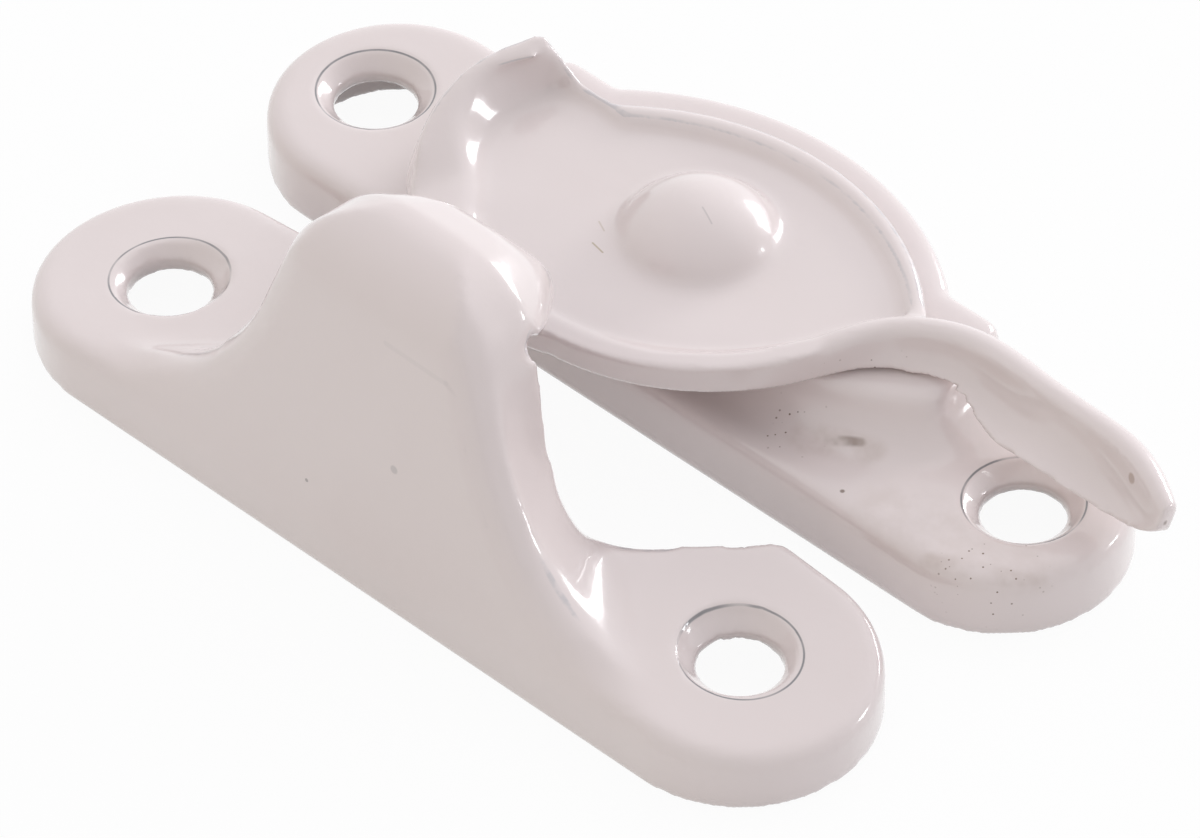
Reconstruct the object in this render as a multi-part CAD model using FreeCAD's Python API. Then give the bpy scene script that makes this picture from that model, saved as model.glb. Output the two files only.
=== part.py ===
import FreeCAD, Part
import math
import os

# Sliding sash window lock: a base casting with a turning cam lever, and the separate hooked keep.
# Millimetres. Origin on the seating plane, on the lever's pivot axis, midway between the base screws.
# X runs along the lock towards the thumb tab when locked, Y away from the keep, Z up from the sash rail.

# Screw holes, the same in both castings
screw_bore_r = 2.55
countersink_r = 3.6

# Base casting
base_length = 64.5
base_screw_inset = 6.1
base_width = 15.8
base_flange_top = 4.5
base_roof = 1.85
base_skirt = 1.9
bulge_r = 20.5
bulge_reach = 12.9
boss_top = 7.65
boss_end_r = 19.0
boss_front = 3.3
boss_bend_x = 9.5
boss_sweep_r = 14.0
boss_corner_r = 1.6
boss_ramp = 2.7
shoulder_half_length = 21.8
shoulder_fade = 4.5
shoulder_back = 5.0
shoulder_drop = 1.5
edge_round = 1.0

# Pivot
spindle_r = 2.6
spindle_clearance = 0.05
hub_r = 4.6
hub_bottom = 3.5
hub_pocket_gap = 0.5
spring_r = 4.4
spring_thickness = 0.4
spring_dish = 0.45
washer_r = 4.2
washer_thickness = 0.8
peen_r = 3.4
peen_thickness = 0.7
running_gap = 0.05

# Cam lever: plate, rim and dome; plan points run from the neck clockwise round to the tab's root
plate_lift = 0.2
floor_thickness = 1.55
rim_height = 0.85
rim_fall = 0.045
neck = (13.0, -3.4)
front_mid = (8.8, -8.9)
cam_start = (0.4, -12.5)
cam_mid = (-7.5, -13.0)
beak_start = (-15.6, -8.1)
beak_mid = (-18.5, -3.2)
beak_tip = (-16.8, 4.2)
tip_back = (-13.4, 4.6)
back_start = (-10.6, 4.4)
back_mid = (3.0, 9.25)
tab_root = (15.9, 2.9)
root_mid = (13.9, 0.2)
beak_tip_r = 1.2
beak_lean = 0.33
rim_width = 1.7
beak_slope_width = 2.9
beak_rise = 0.42
beak_from = 8.5
scoop_height = 3.0
beak_turn = 149.5
beak_end = (-13.0, 2.6)
beak_end_slope = 1.17
dome_x = 0.5
dome_r = 4.9
dome_height = 2.9
dome_foot_r = 1.2

# Cam lever: neck and thumb tab. Each station has its heading in degrees, its thickness, the hollow of its
# leaning face, and the points at the lower and the upper edge of that face, with heights above the plate's foot
tab_face = [
    (58, 1.5, 0.0, (11.6, -5.3, 0.2), (11.6, -5.3, 1.85)),
    (62, 1.6, 0.0, (13.0, -3.35, 0.0), (13.0, -3.3, 2.15)),
    (52, 1.6, 0.0, (14.25, -1.2, 0.0), (14.05, -0.95, 2.65)),
    (38, 1.7, 0.1, (15.6, 0.1, 0.0), (15.1, 0.75, 2.9)),
    (22, 1.8, 0.3, (17.5, 1.05, 0.0), (16.9, 2.1, 3.15)),
    (10, 2.0, 0.5, (19.4, 1.4, -0.05), (18.9, 3.1, 3.15)),
    (0, 2.1, 0.7, (21.5, 0.8, -0.35), (21.5, 3.5, 3.15)),
    (0, 2.1, 0.7, (24.0, 0.0, -0.35), (24.0, 3.45, 3.15)),
    (0, 2.1, 0.7, (29.0, -0.05, -0.35), (29.0, 3.1, 3.15)),
    (0, 2.1, 0.5, (32.5, -0.1, -0.3), (32.5, 2.3, 3.15)),
    (0, 1.9, 0.2, (34.8, -0.3, 0.2), (34.8, 1.3, 2.8)),
    (0, 1.3, 0.0, (36.2, -0.1, 0.9), (36.2, 0.75, 2.3)),
]

# Keep casting
keep_shift = -0.48
keep_line = -20.14
keep_screw_spacing = 46.0
keep_end_r = 8.26
keep_flange_top = 4.44
keep_top_slope = 0.098
keep_roof = 1.8
keep_skirt = 2.0
keep_corner_back = 11.9
throat_r = 22.4
front_lean = 0.125
lean_from = 3.0
bell_gauge = 15.0
bell_sink = 0.12
bell_toe = 0.5
# place in Y behind the keep's front edge, half width at the gauge height, side slope, foot radius,
# rise of the top over the crown, shoulder radius
bell_front = (0.0, 9.4, 0.35, 17.0, 0.6, 6.5)
bell_rear = [
    (7.8, 8.5, 0.07, 7.0, -0.1, 6.5),
    (10.4, 7.0, 0.07, 7.0, -1.4, 5.5),
    (12.3, 5.6, 0.07, 6.0, -3.1, 4.5),
    (15.6, 4.2, 0.07, 5.0, -6.4, 3.4),
]
ridge_roll = 1.8
crown_r = 4.6
crown_top = 23.4
hood_r = 6.0
hood_end_angle = 38.0
lip_reach = -13.2
lip_angle = -52.0
nose_r = 5.0
flank_y = -0.5
flank_half = 8.3
hook_wall = 2.4
hook_low = crown_top - 9.0
throat_mid = (2.6, crown_top - 7.2)
throat_high = (-0.6, crown_top - 4.0)


def vec(x, y, z=0.0):
    return FreeCAD.Vector(x, y, z)


def rounded(points, radii, closed=True):
    """Edges of a flat outline through the points, each corner rounded by its radius."""
    count = len(points)
    starts, ends, arcs = [], [], []
    for i, p in enumerate(points):
        r = radii[i]
        if r == 0 or (not closed and i in (0, count - 1)):
            starts.append(p)
            ends.append(p)
            arcs.append(None)
            continue
        to_last = (points[i - 1] - p).normalize()
        to_next = (points[(i + 1) % count] - p).normalize()
        half = to_last.getAngle(to_next) / 2
        inward = (to_last + to_next).normalize()
        mid = p + inward * (r / math.sin(half) - r)
        starts.append(p + to_last * (r / math.tan(half)))
        ends.append(p + to_next * (r / math.tan(half)))
        arcs.append(Part.Arc(starts[-1], mid, ends[-1]).toShape())
    edges = []
    for i in range(count):
        if arcs[i]:
            edges.append(arcs[i])
        if closed or i < count - 1:
            a, b = ends[i], starts[(i + 1) % count]
            if a.distanceToPoint(b) > 1e-6:
                edges.append(Part.makeLine(a, b))
    return edges


def prism(edges, direction):
    return Part.Face(Part.Wire(Part.__sortEdges__(edges))).extrude(direction)


def polygon(points, direction):
    return Part.Face(Part.makePolygon(points + [points[0]])).extrude(direction)


def tube(radius, low, high, x=0.0, y=0.0):
    return Part.makeCylinder(radius, high - low, vec(x, y, low))


def screw_hole(x, y, top, low):
    """Bore with its 90 degree countersink, standing well above the top face."""
    depth = countersink_r - screw_bore_r
    cone = Part.makeCone(screw_bore_r, countersink_r, depth, vec(x, y, top - depth))
    return tube(screw_bore_r, low, top + 1, x, y).fuse([cone, tube(countersink_r, top, top + 9, x, y)])


# Base casting

def base_plan(inset):
    """Plan of the base: a long bar with round ends and a bulge in its back edge, moved inwards by inset."""
    end_x = (base_length - base_width) / 2
    half = base_width / 2 - inset
    bulge = bulge_r - inset
    bulge_y = bulge_reach - bulge_r
    meet_x = math.sqrt(bulge ** 2 - (half - bulge_y) ** 2)
    return [
        Part.makeLine(vec(-end_x, -half), vec(end_x, -half)),
        Part.Arc(vec(end_x, -half), vec(end_x + half, 0), vec(end_x, half)).toShape(),
        Part.makeLine(vec(end_x, half), vec(meet_x, half)),
        Part.Arc(vec(meet_x, half), vec(0, bulge_y + bulge), vec(-meet_x, half)).toShape(),
        Part.makeLine(vec(-meet_x, half), vec(-end_x, half)),
        Part.Arc(vec(-end_x, half), vec(-end_x - half, 0), vec(-end_x, -half)).toShape(),
    ]


def boss_plan(inset):
    """Plan of the raised boss: round about the pivot at its ends, a straight front that sweeps up to small corners."""
    r = boss_end_r - inset
    front = -(boss_front - inset)
    sweep = boss_sweep_r - inset
    corner = boss_corner_r - inset / 2
    back = bulge_reach + 5
    # the sweep leaves the front at bend_x; the corner circle touches it and the end circle from inside
    bend = vec(boss_bend_x, front + sweep)
    gap = vec(0, 0).distanceToPoint(bend)
    turn = math.acos(((sweep - corner) ** 2 + gap ** 2 - (r - corner) ** 2) / (2 * gap * (sweep - corner)))
    angle = math.atan2(-bend.y, -bend.x) + turn
    centre = bend + vec(math.cos(angle), math.sin(angle)) * (sweep - corner)
    leave = bend + vec(math.cos(angle), math.sin(angle)) * sweep
    half = (angle - math.pi / 2) / 2
    middle = bend + vec(math.cos(half), math.sin(half)) * sweep
    touch = centre * (r / (r - corner))
    out = centre + ((leave - centre).normalize() + (touch - centre).normalize()).normalize() * corner
    top = vec(r * math.cos(1.1), r * math.sin(1.1))
    mid = vec(r * math.cos(0.6), r * math.sin(0.6))
    right = [
        Part.Arc(vec(boss_bend_x, front), middle, leave).toShape(),
        Part.Arc(leave, out, touch).toShape(),
        Part.Arc(touch, mid, top).toShape(),
        Part.makeLine(top, vec(0, back)),
    ]
    left = [e.mirror(vec(0, 0), vec(1, 0)) for e in right]
    return right + left + [Part.makeLine(vec(-boss_bend_x, front), vec(boss_bend_x, front))]


def base_outer():
    flange = prism(base_plan(0), vec(0, 0, base_flange_top))
    column = prism(base_plan(0), vec(0, 0, boss_top))
    boss = prism(boss_plan(0), vec(0, 0, boss_top)).common(column)
    body = flange.fuse(boss).removeSplitter()
    foot = [e for e in body.Edges if is_foot(e)]
    body = body.makeFillet(boss_ramp, foot)
    rims = [e for e in body.Edges if is_rim(e)]
    return body.makeFillet(edge_round, rims)


def is_foot(edge):
    """The concave line where the boss stands on the flange."""
    box = edge.BoundBox
    flat = abs(box.ZMin - base_flange_top) < 1e-4 and abs(box.ZMax - base_flange_top) < 1e-4
    mid = edge.valueAt((edge.FirstParameter + edge.LastParameter) / 2)
    return flat and abs(mid.y) < base_width / 2 - 0.2 and math.hypot(mid.x, mid.y) < boss_end_r + 0.1


def is_rim(edge):
    """The outer top edges of the flange ends and of the boss."""
    box = edge.BoundBox
    level = max(abs(box.ZMin - box.ZMax), 0) < 1e-4
    return level and (abs(box.ZMax - boss_top) < 1e-4 or
                      (abs(box.ZMax - base_flange_top) < 1e-4 and on_base_edge(edge)))


def on_base_edge(edge):
    mid = edge.valueAt((edge.FirstParameter + edge.LastParameter) / 2)
    end_x = (base_length - base_width) / 2
    if abs(mid.x) > end_x:
        return abs(math.hypot(abs(mid.x) - end_x, mid.y) - base_width / 2) < 0.01
    return abs(abs(mid.y) - base_width / 2) < 0.01


def shoulder():
    """What the front shoulder takes off the flange, fading out towards both ends."""
    full = shoulder_half_length - shoulder_fade
    sections = [shoulder_section(-shoulder_half_length, -0.07 * shoulder_drop)]
    sections += [shoulder_section(-full, shoulder_drop), shoulder_section(full, shoulder_drop)]
    sections.append(shoulder_section(shoulder_half_length, -0.07 * shoulder_drop))
    return Part.makeLoft(sections, True, True)


def shoulder_section(x, drop):
    """Section above the shoulder's slope, which loses the drop by the flange's front edge."""
    front = base_width / 2 + 1
    fall = drop * (front - shoulder_back) / (base_width / 2 - shoulder_back)
    top = boss_top + 1
    return Part.makePolygon([
        vec(x, -shoulder_back, base_flange_top), vec(x, -front, base_flange_top - fall),
        vec(x, -front, top), vec(x, -shoulder_back, top), vec(x, -shoulder_back, base_flange_top),
    ])


def base_casting():
    body = base_outer()
    hollow = prism(base_plan(base_skirt), vec(0, 0, base_flange_top - base_roof))
    column = prism(base_plan(base_skirt), vec(0, 0, boss_top - base_roof))
    hollow = hollow.fuse(prism(boss_plan(base_roof), vec(0, 0, boss_top - base_roof)).common(column))
    hollow = hollow.cut(tube(hub_r, hub_bottom, boss_top)).fuse(tube(spring_r + hub_pocket_gap, 0, hub_bottom))
    body = body.cut(hollow).cut(shoulder())
    for side in (-1, 1):
        body = body.cut(screw_hole(side * (base_length / 2 - base_screw_inset), 0, base_flange_top, -1))
    return body.cut(tube(spindle_r + spindle_clearance, -1, boss_top + 1))


# Keep casting

def keep_top(u):
    """Height of the keep's flange top at a distance u from its middle."""
    return keep_flange_top + keep_top_slope * (keep_screw_spacing / 2 - abs(u))


def keep_half_plan(side, inset):
    """Plan of one half of the keep's flange, from its middle to its round end."""
    end = side * keep_screw_spacing / 2
    r = keep_end_r - inset
    back = -keep_corner_back - keep_line - inset
    angle = math.asin(back / r)
    touch = vec(end + side * r * math.cos(angle), back)
    return [
        Part.makeLine(vec(0, back), vec(0, -r)),
        Part.makeLine(vec(0, -r), vec(end, -r)),
        Part.Arc(vec(end, -r), vec(end + side * r, 0), touch).toShape(),
        Part.makeLine(touch, vec(0, back)),
    ]


def keep_half(side, inset, drop, rounding):
    """One half of the flange under its sloping top, its outer top edge rounded."""
    reach = keep_screw_spacing / 2 + keep_end_r + 2
    block = prism(keep_half_plan(side, inset), vec(0, 0, keep_flange_top * 2))
    wedge = polygon([
        vec(0, -20, 0), vec(0, -20, keep_top(0) - drop),
        vec(side * reach, -20, keep_top(reach) - drop), vec(side * reach, -20, 0),
    ], vec(0, 40, 0))
    body = block.common(wedge)
    if rounding:
        back = -keep_corner_back - keep_line - inset
        outer = [e for e in body.Edges if is_keep_rim(e, side, back)]
        body = body.makeFillet(rounding, outer)
    return body


def is_keep_rim(edge, side, back):
    """The top edge along the front and round the end of one half of the keep."""
    p = edge.valueAt((edge.FirstParameter + edge.LastParameter) / 2)
    return side * p.x > 0.1 and abs(p.z - keep_top(p.x)) < 0.01 and p.y < back - 0.01


def bell(section, inset, lean):
    """Section of the keep's hump: swept feet, leaning sides and round shoulders, in an upright or leaning plane."""
    depth, half, slope, foot_r, rise, shoulder = section
    flange_z = keep_top(0) - bell_sink - inset
    side = half - inset * math.hypot(1, slope) + slope * bell_gauge
    foot_z = (flange_z - keep_top_slope * side) / (1 - keep_top_slope * slope)
    foot_u = side - slope * foot_z
    top_z = crown_top + rise - inset
    top_u = side - slope * top_z
    turn = math.acos((slope + keep_top_slope) / math.hypot(1, slope) / math.hypot(1, keep_top_slope))
    reach = (foot_r + inset) * math.tan(turn / 2) / math.hypot(1, keep_top_slope) + bell_toe
    right = [(top_u, top_z), (foot_u, foot_z), (foot_u + reach, foot_z - keep_top_slope * reach), (foot_u + reach, 0)]
    left = [(-u, z) for u, z in reversed(right)]
    points = [vec(u, depth - keep_end_r + lean * (z - lean_from), z) for u, z in left + right]
    radii = [0, 0, foot_r + inset, shoulder - inset, shoulder - inset, foot_r + inset, 0, 0]
    return Part.Wire(rounded(points, radii))


def hump_mass(inset, roll):
    """Solid through the wide front section, with its ridge rolled over, and the narrowing ones behind it."""
    sections = []
    if roll:
        for depth, drop in ((0, roll), (0.29 * roll, 0.29 * roll)):
            sections.append(bell((depth,) + bell_front[1:], inset + drop, front_lean))
    sections.append(bell((roll,) + bell_front[1:], inset, front_lean))
    sections += [bell(section, inset, 0) for section in bell_rear]
    return Part.makeLoft(sections, True, True)


def side_shape(inset):
    """Side profile of the hump: leaning front, round crown, hood falling to the lip."""
    front = -keep_end_r + inset
    lean = math.atan(front_lean)
    crown_y = -keep_end_r + front_lean * (crown_top - crown_r - lean_from) + crown_r
    crown_z = crown_top - crown_r
    r1 = crown_r - inset
    r2 = hood_r - inset
    hood_z = crown_top - hood_r
    a = math.radians(hood_end_angle)
    start = vec(0, crown_y - r1 * math.cos(lean), crown_z + r1 * math.sin(lean))
    mid1 = vec(0, crown_y - r1 * math.sin(math.pi / 4), crown_z + r1 * math.cos(math.pi / 4))
    top = vec(0, crown_y, crown_z + r1)
    a2 = (a + math.pi / 2) / 2
    mid2 = vec(0, crown_y + r2 * math.cos(a2), hood_z + r2 * math.sin(a2))
    end = vec(0, crown_y + r2 * math.cos(a), hood_z + r2 * math.sin(a))
    fall = vec(0, math.cos(math.radians(lip_angle)), math.sin(math.radians(lip_angle)))
    lip_y = lip_reach - keep_line
    lip = end + fall * ((lip_y - end.y) / fall.y)
    edges = [
        Part.makeLine(vec(0, front, 0), vec(0, front, lean_from)),
        Part.makeLine(vec(0, front, lean_from), start),
        Part.Arc(start, mid1, top).toShape(),
        Part.Arc(top, mid2, end).toShape(),
        Part.makeLine(end, lip),
        Part.makeLine(lip, vec(0, lip.y, 0)),
        Part.makeLine(vec(0, lip.y, 0), vec(0, front, 0)),
    ]
    reach = 60
    moved = [e.translated(vec(-reach / 2, 0, 0)) for e in edges]
    return prism(moved, vec(reach, 0, 0))


def nose_plan():
    """Plan limit of the hook: full width at the flanks, narrowing to a round nose at the lip."""
    lip_y = lip_reach - keep_line
    centre = lip_y - nose_r
    front = -keep_end_r - 1
    wide = 30
    rear = flank_y
    side = flank_half
    # tangent from the flank point to the nose circle
    d = math.hypot(side, rear - centre)
    start = math.atan2(rear - centre, side)
    turn = math.acos(nose_r / d)
    touch = vec(nose_r * math.cos(start + turn), centre + nose_r * math.sin(start + turn))
    return [
        Part.makeLine(vec(-wide, front), vec(wide, front)),
        Part.makeLine(vec(wide, front), vec(wide, rear)),
        Part.makeLine(vec(wide, rear), vec(side, rear)),
        Part.makeLine(vec(side, rear), touch),
        Part.Arc(touch, vec(0, centre + nose_r), vec(-touch.x, touch.y)).toShape(),
        Part.makeLine(vec(-touch.x, touch.y), vec(-side, rear)),
        Part.makeLine(vec(-side, rear), vec(-wide, rear)),
        Part.makeLine(vec(-wide, rear), vec(-wide, front)),
    ]


def throat():
    """Room for the lever's rim: round about the pivot, under a ceiling that falls towards the lip."""
    room = tube(throat_r, -1, 2 * crown_top, 0, -keep_line)
    reach = 30
    start = vec(-reach, lip_reach - keep_line + 0.2, hook_low)
    mid, high = vec(-reach, *throat_mid), vec(-reach, *throat_high)
    top = high + vec(0, -reach, reach)
    ceiling = prism([
        Part.makeLine(vec(-reach, top.y, -2), vec(-reach, reach, -2)),
        Part.makeLine(vec(-reach, reach, -2), vec(-reach, reach, hook_low)),
        Part.makeLine(vec(-reach, reach, hook_low), start),
        Part.Arc(start, mid, high).toShape(),
        Part.makeLine(high, top),
        Part.makeLine(top, vec(-reach, top.y, -2)),
    ], vec(2 * reach, 0, 0))
    return room.common(ceiling)


def front_wedge():
    """What the leaning front wall takes off the flange's upright front."""
    rise = 2 * keep_flange_top
    reach = 30
    front = -keep_end_r
    return polygon([
        vec(-reach, front, lean_from), vec(-reach, front + front_lean * rise, lean_from + rise),
        vec(-reach, front - 1, lean_from + rise), vec(-reach, front - 1, lean_from),
    ], vec(2 * reach, 0, 0))


def keep_casting():
    flange = keep_half(1, 0, 0, edge_round).fuse(keep_half(-1, 0, 0, edge_round))
    plan = prism(keep_half_plan(1, 0), vec(0, 0, 40)).fuse(prism(keep_half_plan(-1, 0), vec(0, 0, 40)))
    hump = hump_mass(0, ridge_roll).common(side_shape(0)).common(prism(nose_plan(), vec(0, 0, 40))).common(plan)
    body = flange.cut(front_wedge()).fuse(hump)
    hollow = keep_half(1, keep_skirt, keep_roof, 0).fuse(keep_half(-1, keep_skirt, keep_roof, 0))
    hollow = hollow.fuse(hump_mass(hook_wall, 0).common(side_shape(hook_wall)))
    body = body.cut(hollow).cut(throat())
    for side in (-1, 1):
        body = body.cut(screw_hole(side * keep_screw_spacing / 2, 0, keep_flange_top, -1))
    return body.translated(vec(keep_shift, keep_line, 0))


# Cam lever

def lever_plan(points, z):
    """Closed plan of arcs, each through the point between its corners."""
    p = [vec(x, y, z) for x, y in points]
    return [Part.Arc(p[i], p[i + 1], p[(i + 2) % len(p)]).toShape() for i in range(0, len(p), 2)]


def lever_points(rim, slope, lean):
    """Plan points moved towards the pivot by the rim, and at the beak by its inner slope and its outer wall's lean."""
    # point, share of the rim, share of the slope, share of the lean
    table = [
        (neck, 1, 0, 0), (front_mid, 1, 0, 0), (cam_start, 1, 0, 0), (cam_mid, 1, 0.5, 0.3), (beak_start, 1, 1, 0.8),
        (beak_mid, 1, 0.9, 1), (beak_tip, 1.4, 0.2, 0.8),
        (tip_back, 1.1, 0.1, 0.4), (back_start, 1, 0, 0), (back_mid, 1, 0, 0), (tab_root, 0.8, 0, 0), (root_mid, 0.3, 0, 0),
    ]
    moved = []
    for (x, y), rim_share, slope_share, lean_share in table:
        r = math.hypot(x, y)
        share = 1 - (rim * rim_share + slope * slope_share + lean * lean_share) / r
        moved.append((x * share, y * share))
    return moved


def plate_low():
    return boss_top + plate_lift


def rim_limit():
    """All above the rim: its top falls towards the front, rises to the beak and drops again behind the tip."""
    level = plate_low() + floor_thickness + rim_height
    reach = 60
    tall = 12
    high = level + tall
    front = vec(-reach, -reach, level - reach * rim_fall)
    back = vec(-reach, reach, level + reach * rim_fall)
    above = polygon([front, back, vec(-reach, reach, high), vec(-reach, -reach, high)], vec(2 * reach, 0, 0))
    along = vec(math.cos(math.radians(beak_turn)), math.sin(math.radians(beak_turn)))
    across = vec(-along.y, along.x)
    lead = 3
    start = across * -reach + along * (beak_from - lead)
    wedge = polygon([
        start + vec(0, 0, level - lead * beak_rise), start + along * reach + vec(0, 0, level + (reach - lead) * beak_rise),
        start + along * reach + vec(0, 0, level - tall), start + vec(0, 0, level - tall),
    ], across * 2 * reach)
    above = above.cut(wedge)
    end_x, end_y = beak_end
    behind = polygon([
        vec(end_x, end_y, level), vec(end_x - tall / beak_end_slope, end_y, high), vec(reach, end_y, high), vec(reach, end_y, level),
    ], vec(0, reach, 0))
    return above.fuse(behind)


def lever_plate():
    low = plate_low()
    wall = 6
    foot = Part.Wire(lever_plan(lever_points(0, 0, 0), low))
    head = Part.Wire(lever_plan(lever_points(0, 0, wall * beak_lean), low + wall))
    plate = Part.makeLoft([foot, head], True, True)
    plate = plate.makeFillet(beak_tip_r, [upright(plate, beak_tip)])
    floor = low + floor_thickness
    leaning = (floor_thickness + scoop_height) * beak_lean
    bottom = Part.Wire(lever_plan(lever_points(rim_width, beak_slope_width, 0), floor))
    brim = Part.Wire(lever_plan(lever_points(rim_width * 0.5, 0, leaning), floor + scoop_height))
    dish = Part.makeLoft([bottom, brim], True, True)
    return plate.cut(rim_limit()).cut(dish)


def upright(solid, point):
    """The standing edge of a plate at a plan corner."""
    tall = [e for e in solid.Edges if e.BoundBox.ZLength > 1]
    return min(tall, key=lambda e: e.distToShape(Part.Vertex(point[0], point[1], solid.BoundBox.ZMin))[0])


def dome():
    """Low round dome on the plate over the spindle, swept out into the floor."""
    floor = plate_low() + floor_thickness
    ball_r = (dome_r ** 2 + dome_height ** 2) / (2 * dome_height)
    ball_z = floor + dome_height - ball_r
    # the foot circle touches both the ball and the floor
    foot_z = floor + dome_foot_r
    reach = math.sqrt((ball_r + dome_foot_r) ** 2 - (foot_z - ball_z) ** 2)
    share = ball_r / (ball_r + dome_foot_r)
    touch = vec(reach * share, 0, ball_z + (foot_z - ball_z) * share)
    foot = vec(reach, 0, floor)
    low_angle = math.atan2(touch.z - foot_z, touch.x - reach)
    mid_angle = (low_angle - math.tau * (low_angle > 0) - math.pi / 2) / 2
    mid = vec(reach + dome_foot_r * math.cos(mid_angle), 0, foot_z + dome_foot_r * math.sin(mid_angle))
    rise = math.atan2(touch.z - ball_z, touch.x)
    half = (rise + math.pi / 2) / 2
    top = vec(0, 0, ball_z + ball_r)
    profile = Part.Wire([
        Part.Arc(top, vec(ball_r * math.cos(half), 0, ball_z + ball_r * math.sin(half)), touch).toShape(),
        Part.Arc(touch, mid, foot).toShape(),
        Part.makeLine(foot, vec(reach, 0, floor - 0.5)),
        Part.makeLine(vec(reach, 0, floor - 0.5), vec(0, 0, floor - 0.5)),
        Part.makeLine(vec(0, 0, floor - 0.5), top),
    ])
    return Part.Face(profile).revolve(vec(0, 0, 0), vec(0, 0, 1), 360).translated(vec(dome_x, 0, 0))


def tab_section(heading, thickness, hollow, low, top):
    """Section of the neck or tab: hollow leaning face, full round upper edge, and a flat back."""
    low = vec(*low) + vec(0, 0, plate_low())
    top = vec(*top) + vec(0, 0, plate_low())
    turn = math.radians(heading)
    back = vec(-math.sin(turn), math.cos(turn))
    up = (top - low).normalize()
    back = (back - up * back.dot(up)).normalize()
    edge = top - up * (thickness / 2)
    rear = edge + back * thickness
    under = low + back * thickness
    if low.x < boss_end_r + 1:
        under.z = max(under.z, low.z)
    sink = back * (hollow * 4 / 3)
    face = bezier(low, low + (edge - low) / 3 + sink, edge - (edge - low) / 3 + sink, edge)
    crown = bezier(edge, edge + up * (thickness * 2 / 3), rear + up * (thickness * 2 / 3), rear)
    return Part.Wire([face, crown, Part.makeLine(rear, under), Part.makeLine(under, low)])


def bezier(*poles):
    curve = Part.BezierCurve()
    curve.setPoles(list(poles))
    return curve.toShape()


def thumb_tab():
    return Part.makeLoft([tab_section(*station) for station in tab_face], True, False)


def spindle():
    """Spindle through the base, its lower end spread over the washer."""
    seat = washer_low()
    shaft = tube(spindle_r, seat - peen_thickness, plate_low())
    return shaft.fuse(tube(peen_r, seat - peen_thickness, seat))


def cam_lever():
    return lever_plate().fuse([dome(), thumb_tab(), spindle()])


# Washers under the base

def washer_low():
    return hub_bottom - 2 * running_gap - spring_thickness - spring_dish - washer_thickness


def spring_washer():
    """Dished disc spring between the hub and the retaining washer."""
    top = hub_bottom
    inner = spindle_r + spindle_clearance
    return Part.Face(Part.makePolygon([
        vec(inner, 0, top), vec(spring_r, 0, top - spring_dish), vec(spring_r, 0, top - spring_dish - spring_thickness),
        vec(inner, 0, top - spring_thickness), vec(inner, 0, top),
    ])).revolve(vec(0, 0, 0), vec(0, 0, 1), 360)


def retaining_washer():
    low = washer_low()
    return tube(washer_r, low, low + washer_thickness).cut(tube(spindle_r, low - 1, low + 2))


parts = {
    "base_casting": base_casting(),
    "keep_casting": keep_casting(),
    "cam_lever": cam_lever(),
    "spring_washer": spring_washer(),
    "retaining_washer": retaining_washer(),
}
os.makedirs("parts", exist_ok=True)
for name, shape in parts.items():
    shape.exportStep("parts/" + name + ".step")
    print(name, shape.isValid(), len(shape.Solids), round(shape.Volume, 1))
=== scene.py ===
import math

import bpy
import numpy as np
from mathutils import Matrix, Vector


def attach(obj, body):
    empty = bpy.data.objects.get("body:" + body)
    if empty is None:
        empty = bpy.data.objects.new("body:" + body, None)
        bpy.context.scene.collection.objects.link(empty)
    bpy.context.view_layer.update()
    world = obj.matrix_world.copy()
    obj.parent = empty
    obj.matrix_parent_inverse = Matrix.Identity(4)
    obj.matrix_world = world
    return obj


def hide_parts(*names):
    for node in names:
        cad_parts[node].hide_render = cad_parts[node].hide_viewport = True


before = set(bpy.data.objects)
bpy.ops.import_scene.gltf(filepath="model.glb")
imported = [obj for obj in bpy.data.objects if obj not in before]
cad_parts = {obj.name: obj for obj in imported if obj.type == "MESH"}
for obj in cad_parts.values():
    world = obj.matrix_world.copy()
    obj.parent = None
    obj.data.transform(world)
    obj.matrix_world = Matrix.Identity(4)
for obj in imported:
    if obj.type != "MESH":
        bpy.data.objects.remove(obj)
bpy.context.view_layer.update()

mm = 0.001
scene = bpy.context.scene
scene.view_settings.view_transform = "Standard"


# One value of a node tree, with plain arithmetic

class Sock:
    def __init__(self, nodes, out):
        self.nodes = nodes
        self.out = out

    def math(self, operation, *others):
        return self.nodes.add("ShaderNodeMath", {"operation": operation}, dict(enumerate((self,) + others)))

    def __add__(self, other):
        return self.math("ADD", other)

    def __sub__(self, other):
        return self.math("SUBTRACT", other)

    def __mul__(self, other):
        return self.math("MULTIPLY", other)

    def __rsub__(self, other):
        return self * -1 + other

    __radd__ = __add__

    def ramp(self, low, high):  # 0 below low, 1 above high, smooth between
        return self.nodes.add("ShaderNodeMapRange", {"interpolation_type": "SMOOTHSTEP"},
                              {"Value": self, "From Min": low, "From Max": high}, "Result")


# Makes the nodes of one tree

class Nodes:
    def __init__(self, tree):
        self.tree = tree

    def plug(self, socket, value):
        if isinstance(value, Sock):
            self.tree.links.new(value.out, socket)
        else:
            socket.default_value = value

    def add(self, kind, settings=None, inputs=None, output=0):
        node = self.tree.nodes.new(kind)
        for key, value in (settings or {}).items():
            setattr(node, key, value)
        for key, value in (inputs or {}).items():
            self.plug(node.inputs[key], value)
        return Sock(self, node.outputs[output])

    def vector(self, operation, first, second, output="Vector"):
        return self.add("ShaderNodeVectorMath", {"operation": operation}, {0: first, 1: second}, output)

    def scaled(self, vector, share):
        inputs = {0: vector, "Scale": share}
        return self.add("ShaderNodeVectorMath", {"operation": "SCALE"}, inputs, "Vector")

    def blend(self, mask, low, high):
        inputs = {"Factor": mask, "A": low, "B": high}
        return self.add("ShaderNodeMix", {"data_type": "RGBA"}, inputs, "Result")

    def shaders(self, mask, low, high):
        return self.add("ShaderNodeMixShader", None, {0: mask, 1: low, 2: high})


# A material on the Principled shader, its marks placed in the object's own millimetres

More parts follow.
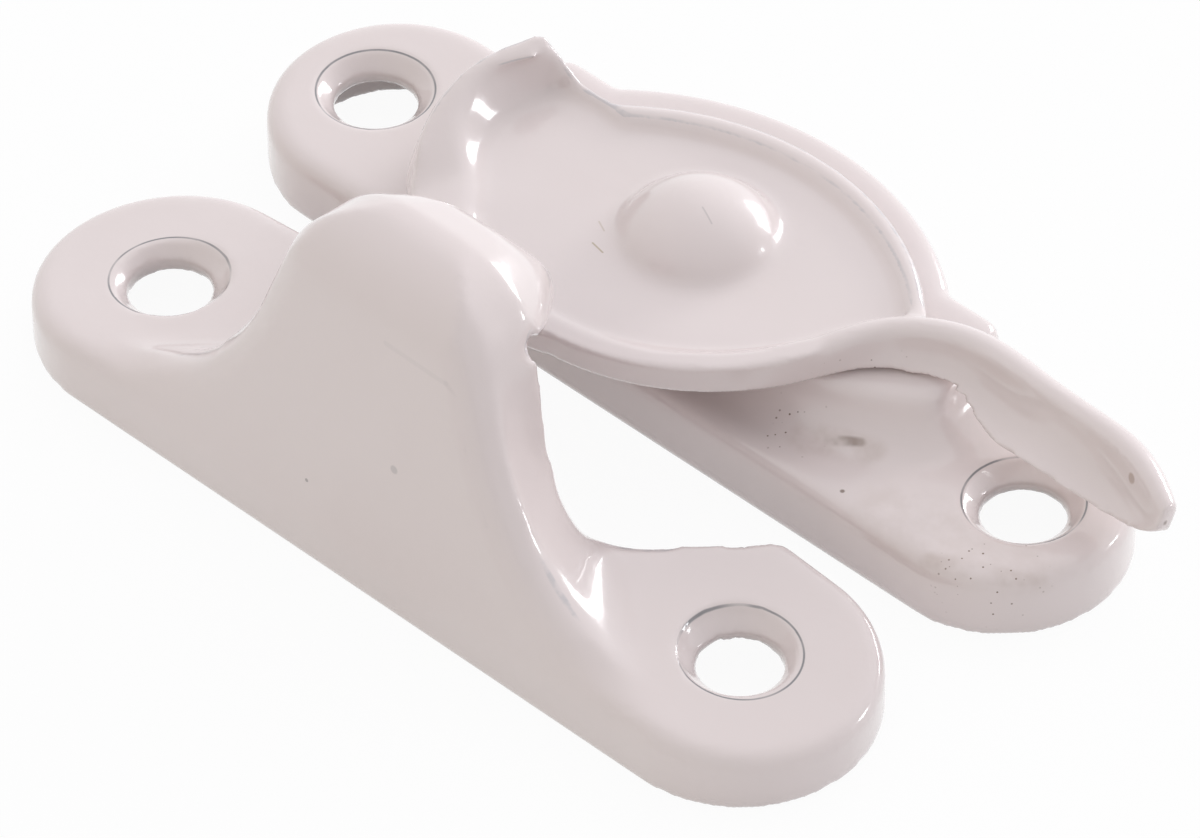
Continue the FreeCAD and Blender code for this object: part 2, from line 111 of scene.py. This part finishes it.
class Surface(Nodes):
    def __init__(self, name, **constants):
        self.material = bpy.data.materials.new(name)
        self.material.use_nodes = True
        super().__init__(self.material.node_tree)
        self.shader = self.tree.nodes["Principled BSDF"]
        self.place = self.add("ShaderNodeTexCoord", output="Object")
        self.feed(**constants)

    def feed(self, **values):
        for key, value in values.items():
            self.plug(self.shader.inputs[key.replace("_", " ")], value)
        return self.material

    def moved(self, shift):
        return self.add("ShaderNodeMapping", None, {"Vector": self.place, "Location": shift})

    def noise(self, scale, detail=3.0, rough=0.5, shift=(0, 0, 0)):
        inputs = {"Vector": self.moved(shift), "Scale": scale, "Detail": detail, "Roughness": rough}
        return self.add("ShaderNodeTexNoise", None, inputs)

    def stored(self, name):  # a number kept on the skin's points
        return self.add("ShaderNodeAttribute", {"attribute_name": name}, output="Fac")

    def near(self, spot, radius, soft):  # 1 inside a ball about a spot, falling to 0
        gap = self.vector("DISTANCE", self.place, [c * mm for c in spot], "Value")
        return 1 - gap.ramp(radius * mm, (radius + soft) * mm)

    def ring(self, x, y, radius, width):  # 1 on a circle about an upright axis
        flat = self.vector("MULTIPLY", self.place, (1, 1, 0))
        away = self.vector("DISTANCE", flat, (x * mm, y * mm, 0), "Value") - radius * mm
        return 1 - away.math("ABSOLUTE").ramp(width * 0.3 * mm, width * mm)

    def thread(self, start, end, width, upright=1):  # 1 along a short line, at any height for upright 0
        run = (Vector(end) - Vector(start)) * mm
        start = Vector(start) * mm
        offset = self.vector("SUBTRACT", self.place, start)
        offset = self.vector("MULTIPLY", offset, (1, 1, upright))
        share = self.vector("DOT_PRODUCT", offset, run / run.length_squared, "Value")
        share = share.math("MAXIMUM", 0).math("MINIMUM", 1)
        gap = self.vector("DISTANCE", offset, self.scaled(run, share), "Value")
        return 1 - gap.ramp(width * 0.4 * mm, width * mm)

    def specks(self, scale, size, shift=(0, 0, 0)):  # a small dot in each cell
        inputs = {"Vector": self.moved(shift), "Scale": scale}
        return 1 - self.add("ShaderNodeTexVoronoi", None, inputs, "Distance").ramp(size * 0.6, size)

    def bump(self, height, distance, under=None):
        inputs = {"Height": height, "Distance": distance}
        if under:
            inputs["Normal"] = under
        return self.add("ShaderNodeBump", None, inputs)


# Camera: the photograph's place, aim and slight roll, in millimetres

camera = {
    "place": (279.22, -298.87, 383.81),
    "forward": (-0.501268, 0.522239, -0.689925),
    "right": (0.726285, 0.687354, -0.007393),
    "focal": 283.6,
    "sensor": 36.0,
    "nearest": 10.0,
}


def addCamera():
    forward = Vector(camera["forward"]).normalized()
    right = Vector(camera["right"])
    right = (right - forward * right.dot(forward)).normalized()
    up = right.cross(forward)
    bpy.ops.object.camera_add()
    eye = bpy.context.object
    eye.name = "photoCamera"
    turn = Matrix((right, up, -forward)).transposed().to_4x4()
    eye.matrix_world = Matrix.Translation(Vector(camera["place"]) * mm) @ turn
    eye.data.lens = camera["focal"]
    eye.data.sensor_width = camera["sensor"]
    eye.data.clip_start = camera["nearest"] * mm
    scene.camera = eye


# Studio: a window of two panes low behind, large soft panels, white floor and background

white = (1, 1, 1, 1)
studio = {
    "floorSize": 3.0,
    "floorColor": (0.84, 0.84, 0.84, 1),
    "shadowShare": 0.06,          # how much of the floor's own shading the camera sees
    "lampDistance": 0.8,
    "lamps": [                    # bearing from +X, height in degrees, width, height, power, colour
        (87, 10, 0.34, 0.22, 2.5, (0.97, 0.985, 1.0)),
        (48, 9, 0.13, 0.13, 0.60, (0.97, 0.985, 1.0)),
    ],
    "panels": [                   # direction of the middle, colour times strength
        ((0, 0.75, 0.66), (1.38, 1.38, 1.42)),
        ((-0.75, 0, 0.66), (0.80, 0.79, 0.85)),
        ((0, -0.75, 0.66), (0.17, 0.17, 0.10)),
        ((-0.7, -0.7, 0.15), (0.32, 0.28, 0.21)),
        ((0.7, -0.7, 0.15), (0.46, 0.41, 0.37)),
        ((0.5, -0.52, 0.69), (0.53, 0.555, 0.64)),
    ],
    "panelEdge": (0.55, 0.95),    # where a panel's light starts and is full, by cosine
}


def addLamps():
    for i, (bearing, rise, width, height, power, color) in enumerate(studio["lamps"]):
        turn = Matrix.Rotation(math.radians(bearing), 3, "Z")
        towards = turn @ Vector((1, 0, math.tan(math.radians(rise))))
        towards.normalize()
        bpy.ops.object.light_add(type="AREA", location=towards * studio["lampDistance"])
        lamp = bpy.context.object
        lamp.name = "softbox" + str(i + 1)
        lamp.rotation_euler = towards.to_track_quat("Z", "Y").to_euler()
        lamp.data.shape = "RECTANGLE"
        lamp.data.size = width
        lamp.data.size_y = height
        lamp.data.energy = power
        lamp.data.color = color


def seenWhite(nodes):  # 1 for what the camera sees straight, in a reflection or through glass
    seen = nodes.add("ShaderNodeLightPath", output="Is Camera Ray")
    rays = seen.out.node.outputs
    for name in ("Is Glossy Ray", "Is Transmission Ray"):
        seen = seen.math("MAXIMUM", Sock(nodes, rays[name]))
    return seen


def addWorld():
    world = bpy.data.worlds.new("studioSky")
    scene.world = world
    world.use_nodes = True
    sky = Nodes(world.node_tree)
    background = sky.tree.nodes["Background"]
    direction = sky.add("ShaderNodeTexCoord", output="Generated")
    light = (0, 0, 0)
    for middle, color in studio["panels"]:
        facing = sky.vector("DOT_PRODUCT", direction, Vector(middle).normalized(), "Value")
        light = sky.vector("ADD", light, sky.scaled(color, facing.ramp(*studio["panelEdge"])))
    sky.plug(background.inputs["Strength"], 1.0)
    sky.plug(background.inputs["Color"], sky.blend(seenWhite(sky), light, white))


def addFloor():
    bpy.ops.object.select_all(action="DESELECT")
    bpy.ops.mesh.primitive_plane_add(size=studio["floorSize"])
    floor = bpy.context.object
    floor.name = "studioFloor"
    paper = Surface("floorPaper", Roughness=1.0, Specular_IOR_Level=0.0, Base_Color=studio["floorColor"])
    glow = paper.add("ShaderNodeEmission", None, {"Color": white, "Strength": 1.0})
    share = seenWhite(paper) * (1 - studio["shadowShare"])
    mixed = paper.shaders(share, Sock(paper, paper.shader.outputs[0]), glow)
    paper.plug(paper.tree.nodes["Material Output"].inputs["Surface"], mixed)
    floor.data.materials.append(paper.material)


# Enamel: thick glossy off-white paint, run soft over the edges of the castings and pooled in their hollows

enamel = {
    "color": (0.762, 0.680, 0.667, 1),
    "warm": (0.705, 0.612, 0.592, 1),
    "thin": (0.40, 0.41, 0.44, 1),        # where the paint runs thin on a sharp edge
    "speck": (0.20, 0.16, 0.14, 1),
    "coat": 0.7,
    "coatRoughness": 0.03,
    "roughness": 0.16,
    "dullness": 0.10,                     # added where the gloss is dull
    "patchShare": 0.22,
    "hollowShadeShare": 0.30,
    "thinShare": 0.45,
    "speckShare": 0.9,
    "dustShare": 0.7,
    "hollow": (0.25, 1.5),                # tenths of a millimetre of pooled paint over which the painted shade of a hollow comes in
    "ridge": (1.7, 2.3),                  # tenths of a millimetre that an edge has lost
    "wave": 0.13 * mm,                    # heights of the bumps under the gloss
    "peel": 0.01 * mm,
}
brown = (0.15, 0.085, 0.05, 1)
rust = (0.30, 0.19, 0.12, 1)
straw = (0.42, 0.33, 0.20, 1)
grey = (0.20, 0.20, 0.21, 1)
black = (0.06, 0.055, 0.05, 1)


def enamelPaint(name, marks):
    paint = Surface(name, Coat_Weight=enamel["coat"], Coat_Roughness=enamel["coatRoughness"])
    patches = paint.noise(60, 2).ramp(0.35, 0.65)
    color = paint.blend(patches * enamel["patchShare"], enamel["color"], enamel["warm"])
    # Painted shade: the colour goes towards the darker warm tone in hollows where the paint pooled
    hollow = paint.stored("hollow").ramp(*enamel["hollow"])
    color = paint.blend(hollow * enamel["hollowShadeShare"], color, enamel["warm"])
    broken = paint.noise(900, 3, shift=(3, 1, 2)).ramp(0.38, 0.62)
    thin = paint.stored("ridge").ramp(*enamel["ridge"]) * (0.25 + broken * 0.75)
    color = paint.blend(thin * enamel["thinShare"], color, enamel["thin"])
    for x, y, radius, width in marks.get("rings", []):  # thin grey line round a countersink
        worn = paint.noise(300, 2, shift=(x, y, 0)).ramp(0.30, 0.60)
        color = paint.blend(paint.ring(x, y, radius, width) * (0.20 + worn * 0.75), color, grey)
    for spot, radius, soft, tint in marks.get("specks", []):  # a scatter of small dots
        dots = paint.specks(2100, 0.17, spot) * paint.noise(620, 1, 0.5, spot).ramp(0.46, 0.54)
        color = paint.blend(paint.near(spot, radius, soft) * dots * enamel["speckShare"], color, tint)
    for start, end, width, tint, amount in marks.get("smearsAndShade", []):  # cloudy dirt along a line, in places also painted shade
        cloud = paint.noise(420, 3, 0.6, start).ramp(0.28, 0.72)
        color = paint.blend(paint.thread(start, end, width, 2) * cloud * amount, color, tint)
    for spot, radius, tint, amount in marks.get("dots", []):
        color = paint.blend(paint.near(spot, radius * 0.6, radius * 0.4) * amount, color, tint)
    for start, end, width, tint, amount in marks.get("threadsAndShadeLines", []):  # a level thread lies at any height; these are hairs, and one painted shade line
        upright = 0 if start[2] == end[2] else 1
        color = paint.blend(paint.thread(start, end, width, upright) * amount, color, tint)
    dust = paint.specks(150, 0.020) * paint.noise(37, 1, shift=(5, 5, 5)).ramp(0.50, 0.54)
    color = paint.blend(dust * enamel["dustShare"], color, enamel["speck"])
    dull = paint.noise(160, 3, shift=(7, 0, 1)).ramp(0.45, 0.75)
    wave = paint.bump(paint.noise(120, 2, shift=(1, 2, 3)), enamel["wave"])
    peel = paint.bump(paint.noise(1100, 2, 0.45), enamel["peel"], wave)
    roughness = enamel["roughness"] + dull * enamel["dullness"]
    return paint.feed(Base_Color=color, Roughness=roughness, Normal=peel)


# Skin: a fine copy of a casting's mesh, smoothed as the paint ran

skinning = {
    "weld": 0.001,        # points of the casting's mesh closer than this are one, in mm
    "fullHollow": 0.8,    # tenths of a millimetre at which a hollow pools in full
    "carried": 0.94,      # share of a hollow's pooling that its next point keeps
    "fade": 0.35,         # how far past its radius a spot fades, as a share of it
    "levels": 12,         # steps of a smoothing weight
    "factor": 0.5,        # the smoothing of one pass
    "deepest": 5,         # largest value kept on the points
}


def enamelSkin(node, sizes, material, body):
    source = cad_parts[node]
    bpy.ops.object.select_all(action="DESELECT")
    skin = source.copy()
    skin.data = source.data.copy()
    skin.name = node + "_enamel"
    for key in list(skin.keys()):
        del skin[key]
    skin.parent = None
    scene.collection.objects.link(skin)
    skin.select_set(True)
    bpy.context.view_layer.objects.active = skin
    bpy.ops.object.mode_set(mode="EDIT")
    bpy.ops.mesh.select_all(action="SELECT")
    bpy.ops.mesh.remove_doubles(threshold=skinning["weld"] * mm)
    bpy.ops.object.mode_set(mode="OBJECT")
    remesh = skin.modifiers.new("paintGrid", "REMESH")
    remesh.mode = "VOXEL"
    remesh.voxel_size = sizes["voxel"] * mm
    bpy.ops.object.modifier_apply(modifier=remesh.name)
    sharp = points(skin)
    ease(skin, "flow", around(sharp, sizes["crisp"]), sizes["passes"])
    hollow = np.clip(-sunk(skin, sharp) / skinning["fullHollow"], 0, 1)
    hollow = spread(skin, hollow, sizes["reach"])
    full = 1 - around(sharp, [(spot, radius, 0) for spot, radius in sizes["round"]])
    pool = np.maximum(hollow, full) * around(sharp, sizes["firm"] + sizes["crisp"])
    ease(skin, "pool", pool, sizes["pooling"])
    bpy.ops.object.shade_smooth()
    depth = sunk(skin, sharp)
    for name, value in (("ridge", depth), ("hollow", -depth)):
        stored = skin.data.attributes.new(name, "FLOAT", "POINT")
        stored.data.foreach_set("value", np.clip(value, 0, skinning["deepest"]).astype(np.float32))
    skin.vertex_groups.clear()
    skin.data.materials.clear()
    skin.data.materials.append(material)
    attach(skin, body)
    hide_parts(node)
    print("enamel skin", node, len(skin.data.polygons), "faces")
    return skin


def points(piece):
    co = np.zeros(len(piece.data.vertices) * 3, np.float32)
    piece.data.vertices.foreach_get("co", co)
    return co.reshape(-1, 3)


def sunk(skin, sharp):  # how far the skin lies under the casting's surface, in tenths of a millimetre
    normals = np.zeros(sharp.size, np.float32)
    skin.data.vertex_normals.foreach_get("vector", normals)
    return ((sharp - points(skin)) * normals.reshape(-1, 3)).sum(1) / (0.1 * mm)


def around(places, spots):  # 1 away from the spots, falling to each spot's own share inside its radius
    weight = np.ones(len(places))
    for spot, radius, least in spots:
        gap = np.linalg.norm(places / mm - np.array(spot), axis=1)
        share = np.clip((gap - radius) / (radius * skinning["fade"]), 0, 1)
        weight = np.minimum(weight, least + (1 - least) * share)
    return weight


def spread(skin, weight, steps):  # carries a share on to the next points of the mesh
    edges = np.zeros(len(skin.data.edges) * 2, np.int32)
    skin.data.edges.foreach_get("vertices", edges)
    first, second = edges.reshape(-1, 2).T
    for step in range(steps):
        last = weight.copy()
        np.maximum.at(weight, first, last[second] * skinning["carried"])
        np.maximum.at(weight, second, last[first] * skinning["carried"])
    return weight


def ease(skin, name, weight, passes):  # smooths the skin by each point's weight
    levels = skinning["levels"]
    group = skin.vertex_groups.new(name=name)
    steps = np.round(weight * levels).astype(int)
    for step in range(1, levels + 1):
        chosen = np.flatnonzero(steps == step)
        if len(chosen):
            group.add(chosen.tolist(), step / levels, "REPLACE")
    flow = skin.modifiers.new(name, "SMOOTH")
    flow.factor = skinning["factor"]
    flow.iterations = passes
    flow.vertex_group = name
    bpy.ops.object.modifier_apply(modifier=name)


# Bare steel of the two washers under the base

def steel(name, color, rough):
    metal = Surface(name, Metallic=1.0)
    grain = metal.noise(2600, 4, 0.6)
    shade = [c * 0.8 for c in color[:3]] + [1]
    tone = metal.blend(grain.ramp(0.35, 0.7), color, shade)
    return metal.feed(Base_Color=tone, Roughness=rough + grain * 0.15, Normal=metal.bump(grain, 0.01 * mm))


addCamera()
addLamps()
addWorld()
addFloor()
print("studio ready")


# Base casting: marks and skin, all places in millimetres

holes = {"base": [(-26.15, 0), (26.15, 0)], "keep": [(-23.48, -20.14), (22.52, -20.14)]}
ring = (3.62, 0.09)       # radius and width of the grey line round a countersink
coneSpot = 3.6            # height of the spot that keeps a countersink sharp

baseMarks = {
    "rings": [(x, y, *ring) for x, y in holes["base"]],
    "smearsAndShade": [((14.8, -4.3, 4.8), (16.2, -3.0, 4.8), 0.55, brown, 0.7),
               ((13.6, -4.9, 4.8), (17.0, -3.4, 4.8), 1.6, rust, 0.22),
               # Partly rust-brown dirt, partly painted shade: the right flange's top by its front edge is
               # darkened here
               ((25.5, -7.2, 4.2), (31.5, -4.2, 4.2), 1.0, rust, 0.26),
               ((21.5, -6.0, 4.4), (30.0, -4.6, 4.4), 3.6, rust, 0.14)],
    "specks": [((12.6, -5.0, 5.2), 1.4, 1.2, brown),
               ((28.5, -5.6, 3.9), 2.0, 2.0, brown)],
    "dots": [((18.0, -6.6, 4.6), 0.22, brown, 0.8)],
}
baseSkin = {
    "voxel": 0.24,        # mesh size of the skin
    "passes": 16,         # smoothing of the whole skin
    "pooling": 50,        # smoothing of the hollows and of the round spots
    "reach": 5,           # points by which a hollow's pooling spreads
    "crisp": [((x, y, coneSpot), 4.1, 0.12) for x, y in holes["base"]],
    "firm": [((x, y, coneSpot), 4.3, 0.05) for x, y in holes["base"]],
    "round": [],
}
basePaint = enamelPaint("baseEnamel", baseMarks)


# Keep casting: its hook's ends, and the corners where the throat turns into the flange, are round

keepMarks = {
    "rings": [(x, y, *ring) for x, y in holes["keep"]],
    "dots": [((2.4, -27.4, 10.65), 0.34, grey, 0.30),
             ((-4.2, -28.0, 5.9), 0.16, black, 0.5),
             ((5.0, -18.0, 14.9), 0.30, black, 0.6),
             ((2.8, -14.5, 14.6), 0.35, grey, 0.5)],
    "threadsAndShadeLines": [((6.6, -26.0, 22.0), (7.0, -26.1, 21.6), 0.20, straw, 0.7),
                # Painted shade: a faint grey line along the crease where the front wall's flat face turns
                # into its rounded edge
                ((1.0, -26.4, 18.9), (5.7, -26.43, 18.8), 0.24, grey, 0.06),
                ((5.7, -26.43, 18.8), (6.9, -26.5, 17.9), 0.24, grey, 0.06),
                ((6.9, -26.5, 17.9), (7.5, -26.9, 15.0), 0.24, grey, 0.06),
                ((7.5, -26.9, 15.0), (9.6, -27.4, 10.8), 0.24, grey, 0.04)],
}
keepSkin = {
    "voxel": 0.24,
    "passes": 18,
    "pooling": 150,
    "reach": 8,
    "crisp": [((x, y, coneSpot), 4.1, 0.12) for x, y in holes["keep"]],
    "firm": [((x, y, coneSpot), 4.3, 0.05) for x, y in holes["keep"]],
    "round": [((5.0, -15.5, 18.0), 4.5), ((-6.0, -15.5, 18.0), 4.5),
              ((9.3, -19.5, 4.4), 2.4), ((-10.3, -19.5, 4.4), 2.4),
              ((12.4, -22.4, 5.4), 4.6), ((-13.4, -22.4, 5.4), 4.6)],
}
keepPaint = enamelPaint("keepEnamel", keepMarks)


# Cam lever: its rim and the beak's inside are round, and its thumb tab stays firm

leverMarks = {
    "specks": [((15.8, -0.2, 7.2), 1.5, 0.8, brown),
               ((13.2, -2.6, 7.4), 1.2, 0.8, brown)],
    "dots": [((32.8, 1.4, 9.6), 0.42, rust, 0.55),
             ((36.0, 0.6, 8.9), 0.30, brown, 0.7),
             ((1.04, -4.2, 9.4), 0.14, black, 0.8)],
    "threadsAndShadeLines": [((-4.4, -3.3, 9.4), (-3.6, -3.7, 9.4), 0.07, straw, 0.35),
                ((-3.4, -4.9, 9.4), (-2.4, -5.1, 9.4), 0.08, straw, 0.7),
                ((1.3, -0.5, 12.0), (2.4, -0.9, 12.0), 0.07, grey, 0.25)],
}
leverRim = {"x": 1.8, "y": -7.66, "z": 9.6, "radius": 16.6, "ends": (0.72, 2.32), "spots": 22, "size": 1.3}
rimSpots = []
for a in np.linspace(*leverRim["ends"], leverRim["spots"]):
    x = leverRim["x"] + leverRim["radius"] * math.cos(a)
    y = leverRim["y"] + leverRim["radius"] * math.sin(a)
    rimSpots.append(((x, y, leverRim["z"]), leverRim["size"]))
beakTip = ((-16.4, 4.0, 13.0), 1.2, 0.5)
beakHollow = [((-13.9, 1.6, 11.2), 3.8), ((-14.2, -2.6, 10.4), 3.2), ((-12.5, -6.5, 9.8), 2.2)]
tabHeight, tabReach = 9.0, 6.0
leverSkin = {
    "voxel": 0.17,
    "passes": 9,
    "pooling": 110,
    "reach": 5,
    "crisp": [beakTip] + [((x, 0.0, tabHeight), tabReach, 0.6) for x in (22, 27, 32, 37)],
    "firm": [((x, 0.0, tabHeight), tabReach, 0.0) for x in (21, 27, 32, 37)],
    "round": rimSpots + beakHollow,
}
leverPaint = enamelPaint("leverEnamel", leverMarks)

enamelSkin("base_casting", baseSkin, basePaint, "lock")
enamelSkin("keep_casting", keepSkin, keepPaint, "lock")
enamelSkin("cam_lever", leverSkin, leverPaint, "lever")


# Washers: the CAD meshes themselves, in bare steel

washers = {
    "spring_washer": steel("springSteel", (0.50, 0.50, 0.52, 1), 0.30),
    "retaining_washer": steel("washerSteel", (0.58, 0.58, 0.59, 1), 0.34),
}
for node, material in washers.items():
    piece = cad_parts[node]
    piece.data.materials.clear()
    piece.data.materials.append(material)
print("washers dressed")
